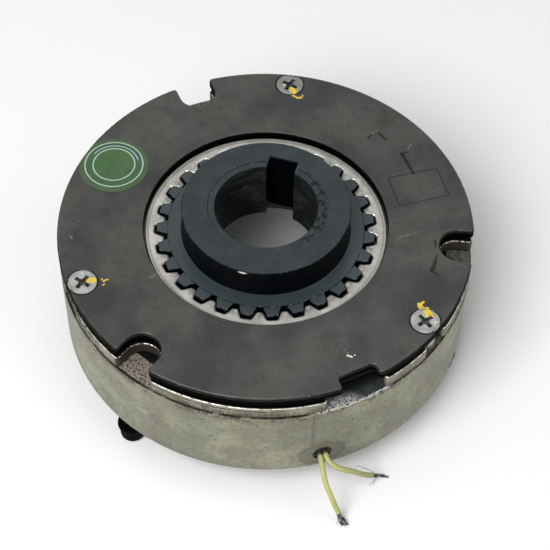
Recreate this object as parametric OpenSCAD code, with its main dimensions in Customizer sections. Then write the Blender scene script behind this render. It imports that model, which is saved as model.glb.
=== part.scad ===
// Flat round spring-applied disc brake for a 28 mm motor shaft.
// The coil pulls the armature plate down against six springs and frees the toothed rotor disc.
// Millimetres, +Z along the shaft towards the hub nose, z = 0 under the rear screw heads.

/* [Field core] */
// Outside diameter of the field core, the armature plate and the side plate
body_d = 114; // [113:0.5:118]
// Height of the field core
core_h = 26.4; // [25:0.2:30]
// Central bore of the field core
core_bore_d = 68.2; // [67.6:0.2:68.4]
// Radial width of the outer pole ring
outer_pole_w = 6.9; // [6.7:0.1:7.1]
// Radial width of the inner pole ring
inner_pole_w = 5.9; // [5.8:0.1:6.2]
// Gap under the back that the loosely fitted rear screws leave
rear_gap = 6.4; // [4:0.2:8]
// Thickness of the back wall under the coil
back_wall_t = 4; // [3.6:0.1:4.2]
// Diameter of the hole that the lead wires leave by
lead_hole_d = 5.4; // [5.2:0.1:5.6]

/* [Armature plate] */
// Thickness of the armature plate
armature_t = 3.9; // [3.6:0.1:4.4]
// Gap between armature plate and field core while the brake holds
air_gap = 0.3; // [0.2:0.05:0.5]
// Bore of the armature plate
armature_bore_d = 66; // [64:0.5:67]
// Width of the wide window cut in the rim of the armature plate
window_w = 16.6; // [14:0.2:17]

/* [Side plate] */
// Thickness of the side plate
plate_t = 2.75; // [2.4:0.05:3.2]
// Central hole of the side plate
plate_hole_d = 67.2; // [66:0.2:68]
// Width of the round-bottomed notches and of the square notch
notch_w = 10.2; // [9.6:0.2:10.6]
// Bolt circle of the plate screws, which is also that of the notches
plate_pcd = 105.6; // [105:0.2:106]

/* [Rotor disc] */
// Thickness of the rotor disc's web between the facings
disc_t = 1.0; // [0.9:0.1:1.2]
// Height that the toothed ring of the rotor disc stands above and below the web
ring_step = 1.0; // [0.6:0.1:1.2]
// Thickness of each friction facing
facing_t = 0.4; // [0.3:0.05:0.6]
// Outside diameter of the rotor disc
disc_d = 94; // [90:1:95]
// Play left between each facing and the plate it rubs on
face_play = 0.025; // [0.02:0.005:0.04]

/* [Hub] */
// Shaft bore
bore_d = 28; // [26:0.5:29]
// Width of the keyway
key_w = 8; // [6:1:8]
// Depth of the keyway beyond the bore
key_depth = 3.3; // [2.8:0.1:3.5]
// Number of teeth on the hub and in the rotor disc
teeth = 27; // [27:1:27]
// Diameter over the hub teeth
tooth_tip_d = 59.5; // [59:0.1:59.6]
// Diameter of the plain collar
collar_d = 46; // [44:0.5:48]
// Length of the hub
hub_l = 20.4; // [18:0.2:22]
// Height of the hub nose above the side plate
nose_h = 7.7; // [6:0.1:9]

/* [Lead wires] */
// Diameter over the insulation
wire_d = 1.8; // [1.6:0.1:1.9]

/* [Springs] */
// Outside diameter of a coil spring
spring_d = 3.8; // [3.4:0.1:4]
// Wire diameter of a coil spring
spring_wire_d = 0.7; // [0.6:0.05:0.8]

/* [Hidden] */
$fn = 96;
eps = 0.01;
gap = 0.05;

body_r = body_d / 2;
core_bore_r = core_bore_d / 2;
plate_pcr = plate_pcd / 2;

// Rear screws: M4 x 16 pan heads with a spring washer and a flat washer each, part way in
rear_r = 52.8;
rear_angles = [113, 233, 353];
rear_head_r = 3.5;
rear_head_h = 2.6;
rear_head_round = 1.2;
rear_shank_r = 1.95;
rear_shank_l = 16;
rear_hole_r = 2.05;
rear_hole_depth = 11;
split_washer_t = 1.2;
split_washer_h = 2.4;
split_washer_r = 3.5;
flat_washer_t = 1.0;
flat_washer_r = 4.0;
washer_bore_r = 2.15;

// Heights of the stack, from the surface that the screw heads stand on
flat_washer_z = rear_head_h + split_washer_h;
back_z = flat_washer_z + flat_washer_t + rear_gap;
core_top = back_z + core_h;
armature_z = core_top + air_gap;
armature_top = armature_z + armature_t;
lower_facing_z = armature_top + face_play;
disc_z = lower_facing_z + facing_t;
upper_facing_z = disc_z + disc_t;
plate_z = upper_facing_z + facing_t + face_play;
plate_top = plate_z + plate_t;
hub_top = plate_top + nose_h;
hub_z = hub_top - hub_l;

// Field core
core_edge = 0.5;
slot_r1 = core_bore_r + inner_pole_w;
slot_r2 = body_r - outer_pole_w;
slot_z = back_z + back_wall_t;
tap_r = 2.05;
tap_depth = 11;
screw_angles = [90, 210, 330];
recess_turns = [22, -12, 29];
notch_angles = [0, 120, 240];

// Coil, above the space that the wires cross the slot in
wire_space = 3.8;
bobbin_z = slot_z + wire_space;
bobbin_wall = 1;
bobbin_top = core_top - 2.4;
coil_r1 = slot_r1 + gap + bobbin_wall;
coil_r2 = slot_r2 - 1.2;
flange_r = coil_r2 + 0.6;
coil_pitch = 0.9;
potting_top = core_top - 0.6;

// Springs in pockets of the inner pole ring
spring_count = 6;
spring_r = core_bore_r + inner_pole_w / 2;
pocket_r = spring_d / 2 + 0.3;
pocket_z = core_top - 12;
spring_turns = 7;
spring_segments = 12;

// Notches in the plates
notch_r = notch_w / 2;
plate_corner = 1;
square_angle = 303.4;
square_w = notch_w + 0.3;
square_floor = 53.1;
square_corner = 1.2;
window_angle = 302.6;
window_floor = 50.6;
window_corner = 1.2;
collar_notch_r = 3.8;
armature_edge = 0.8;
plate_edge = 0.4;

// Plate screws and collars
head_r = 3.92;
head_cone_h = 1.9;
plate_shank_r = 1.95;
plate_hole_r = 2.2;
collar_r = 3.25;
collar_bore_r = 2.1;
plate_thread_l = 9;
cross_w = 1.05;
cross_r = 2.2;
cross_depth = 1.8;

// Rotor disc
tooth_pitch = 360 / teeth;
valley_r = 30.4;
disc_tip_r = 28;
valley_half = 2.8;
land_half = 1.6;
wave_points = 14;
ring_flat_r = 32.2;
ring_foot_r = 32.8;
facing_r1 = 36;
facing_r2 = disc_d / 2 - 0.4;

// Hub
tooth_tip_r = tooth_tip_d / 2;
tooth_root_r = 27.05;
tooth_tip_w = 2.95;
tooth_base_w = 4.6;
tooth_angle = 81;
shoulder_z = plate_top - 1.3;
tooth_top = shoulder_z - 0.2;
collar_fillet = 1.0;
collar_edge = 0.45;
bore_ring_r = 15.8;
bore_ring_depth = 0.15;
bore_edge = 0.4;

// Lead wires: routes in the lead hole's own axes, as distance from the shaft, sideways, and height
lead_angle = 293.3;
lead_z = 18.3;
grommet_r1 = 50.7;
grommet_r2 = 56.4;
grommet_r = lead_hole_d / 2 - gap;
wire_hole_r = wire_d / 2 + gap;
wire_sides = 8;
route_a = [
    [42, -0.9, 17.8], [45, -0.9, 17.8], [48, -0.9, 17.8], [51, -0.9, 17.8], [54, -0.9, 17.8],
    [57, -0.9, 17.8], [59, -1, 17.6], [60.8, -1.1, 17], [62.4, -1.1, 15.9], [63.6, -1, 14.5],
    [64.6, -0.7, 12.8], [65.5, -0.2, 10.9], [66.2, 0.3, 8.9], [66.8, 0.8, 7], [67.4, 1.3, 5.2],
    [67.9, 1.8, 3.6]
];
route_b = [
    [42, 0.9, 18.8], [45, 0.9, 18.8], [48, 0.9, 18.8], [51, 0.9, 18.8], [54, 0.9, 18.8],
    [57, 0.9, 18.8], [58.7, 1.1, 18.7], [60.1, 1.8, 18.4], [61.1, 2.8, 17.7], [61.6, 4.2, 16.5],
    [61.8, 5.8, 14.7], [61.6, 7.5, 12.5], [61.3, 9.2, 10.3], [60.8, 10.9, 8.1], [60.2, 12.5, 6],
    [59.6, 13.9, 4.2]
];
strands_a = [[67.9, 1.8, 3.6], [68.3, 2.1, 2.4], [68.8, 2.4, 1.3], [69.7, 2.7, 0.7], [70.9, 2.9, 0.4]];
strands_b = [[59.6, 13.9, 4.2], [59, 15.3, 2.5], [58.6, 16.6, 1.2], [58.8, 17.9, 0.6], [59.6, 19, 0.4]];
strand_radii = [0.6, 0.58, 0.52, 0.42, 0.3];

// Round inspection label on the side plate
label_r = 9.8;
label_at = 47.5;
label_angle = 161.8;
label_t = 0.12;

// A closed ring of the same section all the way round
module ring(r1, r2, z1, z2) {
    translate([0, 0, z1])
        difference() {
            cylinder(r = r2, h = z2 - z1);
            translate([0, 0, -1]) cylinder(r = r1, h = z2 - z1 + 2);
        }
}

// Children repeated on a circle of radius r, each turned to face outwards
module around(angles, r) {
    for (a = angles) rotate([0, 0, a]) translate([r, 0, 0]) children();
}

// Section of a plate whose outer edges are rounded: straight inner side at r1, arcs of radius e at r2
module rounded_section(r1, r2, h, e_top, e_bottom) {
    union() {
        translate([r1, 0]) square([r2 - max(e_top, e_bottom) - r1, h]);
        translate([r1, e_bottom]) square([r2 - r1, h - e_top - e_bottom]);
        translate([r2 - e_top, h - e_top]) circle(r = e_top, $fn = 32);
        translate([r2 - e_bottom, e_bottom]) circle(r = e_bottom, $fn = 32);
    }
}

// Removes the sharp corner where a straight notch side at half_w meets the rim, leaving an arc of corner_r
module corner_cutter(half_w, corner_r, h) {
    cx = sqrt(pow(body_r - corner_r, 2) - pow(half_w + corner_r, 2));
    cy = half_w + corner_r;
    a = atan2(cy, cx);
    far = body_r + 1;
    for (side = [0, 1]) mirror([0, side, 0])
        difference() {
            linear_extrude(h)
                polygon([[cx, cy], [cx, half_w], [far, half_w], [far * cos(a), far * sin(a)]]);
            translate([cx, cy, -1]) cylinder(r = corner_r, h = h + 2, $fn = 32);
        }
}

// Round-bottomed notch of radius r, open at the rim, with rounded mouth corners
module round_notch(r, h) {
    translate([plate_pcr, 0, 0]) cylinder(r = r, h = h);
    translate([plate_pcr, -r, 0]) cube([body_r - plate_pcr + 2, 2 * r, h]);
    corner_cutter(r, plate_corner, h);
}

// Flat-bottomed notch of width w from the rim down to floor_x, with rounded inner and mouth corners
module square_notch(w, floor_x, inner_r, mouth_r, h) {
    translate([floor_x + inner_r, -w / 2, 0]) cube([body_r - floor_x - inner_r + 2, w, h]);
    translate([floor_x, -w / 2 + inner_r, 0]) cube([inner_r + eps, w - 2 * inner_r, h]);
    for (s = [-1, 1]) translate([floor_x + inner_r, s * (w / 2 - inner_r), 0])
        cylinder(r = inner_r, h = h, $fn = 32);
    corner_cutter(w / 2, mouth_r, h);
}

// Steel pot with an annular coil slot, spring pockets in the inner pole and tapped holes in the outer pole
module field_core() {
    color([0.66, 0.66, 0.58])
        difference() {
            rotate_extrude() polygon([
                [core_bore_r + core_edge, back_z], [body_r - core_edge, back_z],
                [body_r, back_z + core_edge], [body_r, core_top - core_edge],
                [body_r - core_edge, core_top], [slot_r2, core_top], [slot_r2, slot_z],
                [slot_r1, slot_z], [slot_r1, core_top], [core_bore_r + core_edge, core_top],
                [core_bore_r, core_top - core_edge], [core_bore_r, back_z + core_edge]
            ]);
            around([for (i = [0 : spring_count - 1]) i * 360 / spring_count], spring_r)
                translate([0, 0, pocket_z]) cylinder(r = pocket_r, h = core_top - pocket_z + 1);
            around(screw_angles, plate_pcr)
                translate([0, 0, core_top - tap_depth]) cylinder(r = tap_r, h = tap_depth + 1);
            around(rear_angles, rear_r)
                translate([0, 0, back_z - 1]) cylinder(r = rear_hole_r, h = rear_hole_depth + 1);
            rotate([0, 0, lead_angle]) translate([slot_r2 - 1, 0, lead_z])
                rotate([0, 90, 0]) cylinder(r = lead_hole_d / 2, h = outer_pole_w + 3);
        }
}

// Moulded spool that the coil is wound on
module coil_bobbin() {
    color([0.12, 0.12, 0.13])
        rotate_extrude() polygon([
            [slot_r1 + gap, bobbin_z], [flange_r, bobbin_z], [flange_r, bobbin_z + bobbin_wall],
            [coil_r1, bobbin_z + bobbin_wall], [coil_r1, bobbin_top - bobbin_wall],
            [flange_r, bobbin_top - bobbin_wall], [flange_r, bobbin_top], [slot_r1 + gap, bobbin_top]
        ]);
}

// Copper coil, with the outer layer's turns showing as ridges
module coil_winding() {
    low = bobbin_z + bobbin_wall + gap;
    high = bobbin_top - bobbin_wall - gap;
    turns = floor((high - low) / coil_pitch);
    color([0.72, 0.38, 0.2])
        union() {
            ring(coil_r1 + gap, coil_r2 - coil_pitch / 2, low, high);
            for (i = [0 : turns - 1])
                rotate_extrude()
                    translate([coil_r2 - coil_pitch / 2, low + (i + 0.5) * coil_pitch])
                        circle(r = coil_pitch / 2 - eps, $fn = 24);
        }
}

// Black resin that seals the slot above the coil
module coil_potting() {
    color([0.06, 0.06, 0.07]) ring(slot_r1 + gap, slot_r2 - gap, bobbin_top + gap, potting_top);
}

// Rubber bush in the lead hole, with one hole for each wire
module lead_grommet() {
    color([0.08, 0.08, 0.08])
        rotate([0, 0, lead_angle]) difference() {
            translate([grommet_r1, 0, lead_z]) rotate([0, 90, 0])
                cylinder(r = grommet_r, h = grommet_r2 - grommet_r1);
            for (route = [route_a, route_b])
                translate([grommet_r1 - 1, route[0][1], route[0][2]]) rotate([0, 90, 0])
                    cylinder(r = wire_hole_r, h = grommet_r2 - grommet_r1 + 2);
        }
}

function unit(v) = v / norm(v);

// Direction of a path at point i
function heading(path, i) = unit(path[min(i + 1, len(path) - 1)] - path[max(i - 1, 0)]);

// Points of the ring round path point i, where ref is a direction across the path
function ring_points(path, i, ref, r, sides) =
    let (ahead = heading(path, i), side = unit(cross(ahead, ref)), up = cross(side, ahead))
    [for (k = [0 : sides - 1]) path[i] + r * (cos(360 * k / sides) * side + sin(360 * k / sides) * up)];

// Round tube along a path, with its own radius and cross direction at each point
module tube(path, radii, refs, sides) {
    n = len(path);
    points = [for (i = [0 : n - 1]) each ring_points(path, i, refs[i], radii[i], sides)];
    walls = [
        for (i = [0 : n - 2], k = [0 : sides - 1])
            let (a = i * sides + k, b = i * sides + (k + 1) % sides)
            each [[a, b, a + sides], [b, b + sides, a + sides]]
    ];
    first = [for (k = [sides - 1 : -1 : 0]) k];
    last = [for (k = [0 : sides - 1]) (n - 1) * sides + k];
    polyhedron(points, concat([first], walls, [last]), convexity = 4);
}

module wire_run(route, radii) {
    rotate([0, 0, lead_angle]) tube(route, radii, [for (p = route) [0, 0, 1]], wire_sides);
}

// Insulated lead wires, from under the coil, out through the bush and down to the surface
module lead_wire(route) {
    color([0.82, 0.82, 0.5]) wire_run(route, [for (p = route) wire_d / 2]);
}

// Stripped ends of the lead wires
module wire_strands(route) {
    color([0.3, 0.3, 0.29]) wire_run(route, strand_radii);
}

// Blanked steel plate that the rotor disc is pressed against
module side_plate() {
    high = plate_t + 2;
    color([0.3, 0.3, 0.29])
        difference() {
            translate([0, 0, plate_z]) rotate_extrude()
                rounded_section(plate_hole_d / 2, body_r, plate_t, plate_edge, plate_edge);
            translate([0, 0, plate_z - 1]) {
                around(notch_angles, 0) round_notch(notch_r, high);
                around([square_angle], 0)
                    square_notch(square_w, square_floor, square_corner, plate_corner, high);
                around(screw_angles, plate_pcr) cylinder(r = plate_hole_r, h = high);
            }
            around(screw_angles, plate_pcr) translate([0, 0, plate_top - head_cone_h - gap])
                cylinder(r1 = head_r - head_cone_h, r2 = head_r + gap, h = head_cone_h + gap + eps);
        }
}

// Cross-shaped driver recess, sunk downwards from z = 0 and narrowing with depth
module cross_recess() {
    intersection() {
        translate([0, 0, -cross_depth]) cylinder(r1 = cross_w / 2, r2 = cross_r, h = cross_depth + eps);
        for (turn = [45, 135]) rotate([0, 0, turn])
            translate([-cross_r, -cross_w / 2, -cross_depth]) cube([2 * cross_r, cross_w, cross_depth + 1]);
    }
}

// Three countersunk cross-head screws; each was tightened to its own angle
module plate_screws() {
    head_z = plate_top - head_cone_h;
    tip_z = core_top - plate_thread_l;
    color([0.74, 0.75, 0.74])
        for (i = [0 : 2]) around([screw_angles[i]], plate_pcr) difference() {
            union() {
                translate([0, 0, head_z]) cylinder(r1 = head_r - head_cone_h, r2 = head_r, h = head_cone_h);
                translate([0, 0, tip_z]) cylinder(r = plate_shank_r, h = head_z - tip_z + 0.5);
            }
            translate([0, 0, plate_top]) rotate([0, 0, recess_turns[i]]) cross_recess();
        }
}

// Three turned collars that hold the side plate off the field core
module spacer_collars() {
    color([0.45, 0.44, 0.4])
        around(screw_angles, plate_pcr) ring(collar_bore_r, collar_r, core_top, plate_z);
}

// Three black pan-head screws, turned part way into the tapped mounting holes of the back
module rear_screws() {
    flat_r = rear_head_r - rear_head_round;
    color([0.07, 0.07, 0.08])
        around(rear_angles, rear_r) difference() {
            union() {
                rotate_extrude() {
                    square([flat_r, rear_head_h]);
                    translate([0, rear_head_round]) square([rear_head_r, rear_head_h - rear_head_round]);
                    intersection() {
                        translate([flat_r, rear_head_round]) circle(r = rear_head_round, $fn = 32);
                        square([rear_head_r, rear_head_h]);
                    }
                }
                translate([0, 0, rear_head_h - eps]) cylinder(r = rear_shank_r, h = rear_shank_l);
            }
            mirror([0, 0, 1]) cross_recess();
        }
}

// Three split spring washers in their relaxed, helical shape
module spring_washers() {
    segments = 22;
    sweep_angle = 350;
    rise = split_washer_h - split_washer_t;
    low = rear_head_h;
    points = [
        for (i = [0 : segments])
            let (a = i * sweep_angle / segments, z = low + rise * i / segments)
            for (corner = [[washer_bore_r, 0], [split_washer_r, 0], [split_washer_r, split_washer_t],
                    [washer_bore_r, split_washer_t]])
                [corner[0] * cos(a), corner[0] * sin(a), z + corner[1]]
    ];
    walls = [
        for (i = [0 : segments - 1], k = [0 : 3])
            let (a = i * 4 + k, b = i * 4 + (k + 1) % 4) each [[a, a + 4, b], [b, a + 4, b + 4]]
    ];
    last = segments * 4;
    color([0.09, 0.09, 0.1])
        around(rear_angles, rear_r)
            polyhedron(points, concat([[0, 1, 2, 3]], walls, [[last + 3, last + 2, last + 1, last]]));
}

// Three flat washers, lying on the spring washers
module flat_washers() {
    color([0.1, 0.1, 0.11])
        around(rear_angles, rear_r)
            ring(washer_bore_r, flat_washer_r, flat_washer_z, flat_washer_z + flat_washer_t);
}

// Thin round label, cut off where it would pass the rim of the plate
module inspection_label() {
    color([0.24, 0.42, 0.26])
        intersection() {
            rotate([0, 0, label_angle]) translate([label_at, 0, plate_top])
                cylinder(r = label_r, h = label_t);
            translate([0, 0, plate_top - 1]) cylinder(r = body_r - plate_edge, h = 3);
        }
}

// Steel ring that the springs lift and the coil pulls down
module armature_plate() {
    high = armature_t + 2;
    color([0.6, 0.6, 0.54])
        difference() {
            translate([0, 0, armature_z]) rotate_extrude()
                rounded_section(armature_bore_d / 2, body_r, armature_t, armature_edge, armature_edge / 2);
            translate([0, 0, armature_z - 1]) {
                around(notch_angles, 0) round_notch(notch_r, high);
                around(screw_angles, 0) round_notch(collar_notch_r, high);
                around([window_angle], 0)
                    square_notch(window_w, window_floor, window_corner, window_corner, high);
            }
        }
}

// Smooth step from 0 to 1 as t goes from 0 to 1
function smooth(t) = let (c = min(1, max(0, t))) c * c * (3 - 2 * c);

// Radius of the disc's wavy inner edge, a degrees away from the middle of a valley
function wave_r(a) =
    let (slope_width = tooth_pitch / 2 - land_half - valley_half)
    valley_r - (valley_r - disc_tip_r) * smooth((abs(a) - valley_half) / slope_width);

// Inner edge of the rotor disc: a valley over every hub tooth, with rounded lands between
wave_edge = [
    for (tooth = [0 : teeth - 1], k = [0 : wave_points - 1])
        let (off = tooth_pitch * (k / wave_points - 0.5), a = tooth_angle + tooth * tooth_pitch + off)
        wave_r(off) * [cos(a), sin(a)]
];

// Steel disc: a thin web between the plates, and a thicker ring with internal teeth that fills their holes
module rotor_disc() {
    web_top = disc_z + disc_t;
    ring_bottom = disc_z - ring_step;
    ring_top = web_top + ring_step;
    inside = disc_tip_r - 2;
    color([0.74, 0.73, 0.69])
        difference() {
            rotate_extrude() polygon([
                [inside, ring_bottom], [ring_flat_r, ring_bottom], [ring_foot_r, disc_z],
                [disc_d / 2, disc_z], [disc_d / 2, web_top], [ring_foot_r, web_top],
                [ring_flat_r, ring_top], [inside, ring_top]
            ]);
            translate([0, 0, ring_bottom - 1])
                linear_extrude(disc_t + 2 * ring_step + 2) polygon(wave_edge);
        }
}

// Friction facings bonded to both sides of the rotor disc
module facing(z) {
    color([0.32, 0.27, 0.2]) ring(facing_r1, facing_r2, z, z + facing_t);
}

// One hub tooth: straight flanks from the root to the tip
module hub_tooth(h) {
    inside = 1;
    slope = (tooth_base_w - tooth_tip_w) / 2 / (tooth_tip_r - tooth_root_r);
    w1 = tooth_base_w / 2 + inside * slope;
    w2 = tooth_tip_w / 2 - slope;
    linear_extrude(h) polygon([
        [tooth_root_r - inside, -w1], [tooth_tip_r + 1, -w2],
        [tooth_tip_r + 1, w2], [tooth_root_r - inside, w1]
    ]);
}

// Black steel hub with a plain collar, external teeth and a keyed bore
module hub() {
    tooth_h = tooth_top - hub_z;
    tooth_edge = 0.5;
    neck_r = collar_d / 2;
    color([0.2, 0.22, 0.23])
        difference() {
            union() {
                rotate_extrude() difference() {
                    polygon([
                        [0, hub_z], [tooth_root_r - tooth_edge, hub_z], [tooth_root_r, hub_z + tooth_edge],
                        [tooth_root_r, shoulder_z], [neck_r + collar_fillet, shoulder_z],
                        [neck_r, shoulder_z + collar_fillet],
                        [neck_r, hub_top - collar_edge], [neck_r - collar_edge, hub_top], [0, hub_top]
                    ]);
                    translate([neck_r + collar_fillet, shoulder_z + collar_fillet])
                        circle(r = collar_fillet, $fn = 48);
                }
                intersection() {
                    for (i = [0 : teeth - 1]) rotate([0, 0, tooth_angle + i * tooth_pitch])
                        translate([0, 0, hub_z]) hub_tooth(tooth_h);
                    rotate_extrude() polygon([
                        [0, hub_z], [tooth_tip_r - tooth_edge, hub_z], [tooth_tip_r, hub_z + tooth_edge],
                        [tooth_tip_r, tooth_top], [0, tooth_top]
                    ]);
                }
            }
            translate([0, 0, hub_z - 1]) cylinder(d = bore_d, h = hub_l + 2);
            translate([0, 0, hub_z - eps])
                cylinder(r1 = bore_d / 2 + bore_edge, r2 = bore_d / 2, h = bore_edge);
            translate([0, 0, hub_top - bore_ring_depth]) cylinder(r = bore_ring_r, h = 1);
            rotate([0, 0, tooth_angle]) translate([0, -key_w / 2, hub_z - 1])
                cube([bore_d / 2 + key_depth, key_w, hub_l + 2]);
        }
}

// Height of the spring wire's centre after t turns: closed end turns, open ones between
function spring_z(t) =
    let (low = pocket_z + spring_wire_d / 2 + eps, high = armature_z - spring_wire_d / 2 - eps,
        closed = spring_wire_d + 0.05, open = (high - low - 2 * closed) / (spring_turns - 2))
    t <= 1 ? low + closed * t :
    t >= spring_turns - 1 ? high - closed * (spring_turns - t) :
    low + closed + open * (t - 1);

// One compression spring, standing in its pocket and reaching the underside of the armature plate
module brake_spring(number) {
    steps = spring_turns * spring_segments;
    turn_r = (spring_d - spring_wire_d) / 2;
    angles = [for (i = [0 : steps]) 360 * i / spring_segments];
    path = [
        for (i = [0 : steps])
            [turn_r * cos(angles[i]), turn_r * sin(angles[i]), spring_z(i / spring_segments)]
    ];
    color([0.55, 0.56, 0.58])
        around([number * 360 / spring_count], spring_r)
            tube(path, [for (p = path) spring_wire_d / 2], [for (a = angles) [cos(a), sin(a), 0]], 6);
}

field_core();
coil_bobbin();
coil_winding();
coil_potting();
lead_grommet();
lead_wire(route_a);  // lead_wire_a
lead_wire(route_b);  // lead_wire_b
wire_strands(strands_a);  // wire_strands_a
wire_strands(strands_b);  // wire_strands_b
side_plate();
plate_screws();
spacer_collars();
rear_screws();
spring_washers();
flat_washers();
inspection_label();
armature_plate();
rotor_disc();
facing(upper_facing_z);  // upper_facing
facing(lower_facing_z);  // lower_facing
hub();
brake_spring(0);  // brake_spring_1
brake_spring(1);  // brake_spring_2
brake_spring(2);  // brake_spring_3
brake_spring(3);  // brake_spring_4
brake_spring(4);  // brake_spring_5
brake_spring(5);  // brake_spring_6
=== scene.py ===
import math

import bmesh
import bpy
import numpy as np
from mathutils import Matrix, Vector
from mathutils.geometry import tessellate_polygon


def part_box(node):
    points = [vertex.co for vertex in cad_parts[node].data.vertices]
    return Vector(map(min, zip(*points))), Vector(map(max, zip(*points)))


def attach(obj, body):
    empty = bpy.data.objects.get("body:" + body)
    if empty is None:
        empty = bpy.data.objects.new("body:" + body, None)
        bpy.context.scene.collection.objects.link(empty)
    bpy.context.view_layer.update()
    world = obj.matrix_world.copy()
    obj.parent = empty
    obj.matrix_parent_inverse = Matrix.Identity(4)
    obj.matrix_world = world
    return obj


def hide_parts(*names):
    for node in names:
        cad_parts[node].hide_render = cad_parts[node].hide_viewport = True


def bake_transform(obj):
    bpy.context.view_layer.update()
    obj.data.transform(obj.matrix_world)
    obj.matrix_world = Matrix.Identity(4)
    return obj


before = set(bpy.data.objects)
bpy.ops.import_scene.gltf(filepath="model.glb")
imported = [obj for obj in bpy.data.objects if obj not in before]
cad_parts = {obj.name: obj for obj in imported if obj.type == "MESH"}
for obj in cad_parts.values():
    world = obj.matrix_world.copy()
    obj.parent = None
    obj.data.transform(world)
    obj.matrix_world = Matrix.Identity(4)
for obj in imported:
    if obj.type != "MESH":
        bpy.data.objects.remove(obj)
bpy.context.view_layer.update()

MM = 0.001


# The camera stands in front of the brake and looks down on it at 51 degrees.
# It was fitted to the circles and notches of the photograph, which is 550 by 550 pixels.
camera_turn, camera_height, camera_distance = math.radians(7), math.radians(51.33), 451.0
looked_at = Vector((0, 0, 47.6)) * MM
right = Vector((1, 0, 0))
back = Vector((0, -math.cos(camera_height), math.sin(camera_height)))
aim = Matrix((right, back.cross(right), back)).transposed()
for degrees, axis in ((-0.34, "Y"), (-1.77, "X"), (0.83, "Z")):
    aim = aim @ Matrix.Rotation(math.radians(degrees), 3, axis)
turn = Matrix.Rotation(camera_turn, 3, "Z")


def placed(name, data):
    """A new object in the scene."""
    made = bpy.data.objects.new(name, data)
    bpy.context.scene.collection.objects.link(made)
    return made


camera = placed("camera", bpy.data.cameras.new("camera"))
camera.data.lens, camera.data.sensor_width = 107.84, 36.0
camera.data.clip_start, camera.data.clip_end = 0.01, 50
camera.matrix_world = (turn @ aim).to_4x4()
camera.location = looked_at + turn @ back * camera_distance * MM
bpy.context.scene.camera = camera


# The two lead wires are thin stranded copper in pale yellow insulation. They come from under the coil,
# leave through a rubber bush in the side of the housing, and sag to the surface that the brake stands on.
# Their ends are stripped: the bare strands are twisted, tarnished and a little frayed.
lead_turn, lead_height, wire_diameter = 293.3, 18.3, 1.5
# Each point of a route is a distance from the shaft, one sideways, and a height.
route_a = [(x, -0.75, 17.8) for x in range(42, 55, 3)] + [
    (57, -0.75, 17.65), (59, -0.85, 17.2), (60.7, -1, 16.4), (62.2, -1.05, 15.35), (63.5, -1, 14.1),
    (64.6, -0.7, 12.6), (65.5, -0.2, 10.9), (66.2, 0.3, 8.9), (66.8, 0.8, 7), (67.4, 1.3, 5.2), (67.9, 1.8, 3.6)]
route_b = [(x, 0.78, 18) for x in range(42, 55, 3)] + [
    (57, 0.8, 17.8), (58.6, 0.95, 17.35), (60, 1.6, 16.75), (61, 2.7, 16.05), (61.5, 4.2, 15.2), (61.7, 5.8, 14),
    (61.6, 7.5, 12.5), (61.3, 9.2, 10.3), (60.8, 10.9, 8.1), (60.2, 12.5, 6), (59.6, 13.9, 4.2)]
strands_a = [(67.9, 1.8, 3.6), (68.3, 2.1, 2.4), (68.8, 2.4, 1.3), (69.7, 2.7, 0.7), (70.9, 2.9, 0.4)]
strands_b = [(59.6, 13.9, 4.2), (59, 15.3, 2.5), (58.6, 16.6, 1.2), (58.8, 17.9, 0.6), (59.6, 19, 0.4)]
strand_radius, fray_radius, lay_radius, twist = 0.17, 0.055, 0.5, 5.5


def polar(radius, degrees):
    """A point in plan, at a radius from the brake's axis and an angle from +X."""
    return radius * np.array([math.cos(math.radians(degrees)), math.sin(math.radians(degrees))])


upright = np.array([0, 0, 1.0])
straight_out = np.array([*polar(1, lead_turn), 0])
sideways = np.cross(upright, straight_out)


class Shade:
    """One output of a node. Arithmetic on it adds Math nodes."""

    def __init__(self, nodes, socket):
        self.nodes, self.socket = nodes, socket

    def math(self, operation, *values):
        return self.nodes.node("Math", {"operation": operation}, dict(enumerate(values)))

    def __add__(self, other):
        return self.math("ADD", self, other)

    def __sub__(self, other):
        return self.math("SUBTRACT", self, other)

    def __rsub__(self, other):
        return self.math("SUBTRACT", other, self)

    def __mul__(self, other):
        return self.math("MULTIPLY", self, other)

    __radd__, __rmul__ = __add__, __mul__

    def off(self, value):
        """How far it is from a value, either way."""
        return self.math("ABSOLUTE", self - value)

    def least(self, other):
        return self.math("MINIMUM", self, other)

    def most(self, other):
        return self.math("MAXIMUM", self, other)

    def ramp(self, low, high):
        """0 below low, 1 above high and a smooth step between; turned over where low is above high."""
        return self.nodes.node("MapRange", {"interpolation_type": "SMOOTHSTEP"}, {0: self, 1: low, 2: high})

    def between(self, low, full, still_full, high):
        """0 below low and above high, 1 between the two middle values, and smooth steps."""
        return self.ramp(low, full) * self.ramp(high, still_full)


class Nodes:
    """The nodes of a material or of the world."""

    def __init__(self, owner):
        owner.use_nodes = True
        self.tree = owner.node_tree

    def feed(self, made, sockets):
        """Gives each named socket of a node its value or its link."""
        for name, value in sockets.items():
            if isinstance(value, Shade):
                self.tree.links.new(value.socket, made.inputs[name])
            else:
                made.inputs[name].default_value = value

    def node(self, kind, settings={}, sockets={}, out=0):
        """Any node: its settings are set first, and then its sockets."""
        made = self.tree.nodes.new("ShaderNode" + kind)
        for name, value in settings.items():
            setattr(made, name, value)
        self.feed(made, sockets)
        return Shade(self, made.outputs[out])


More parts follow.
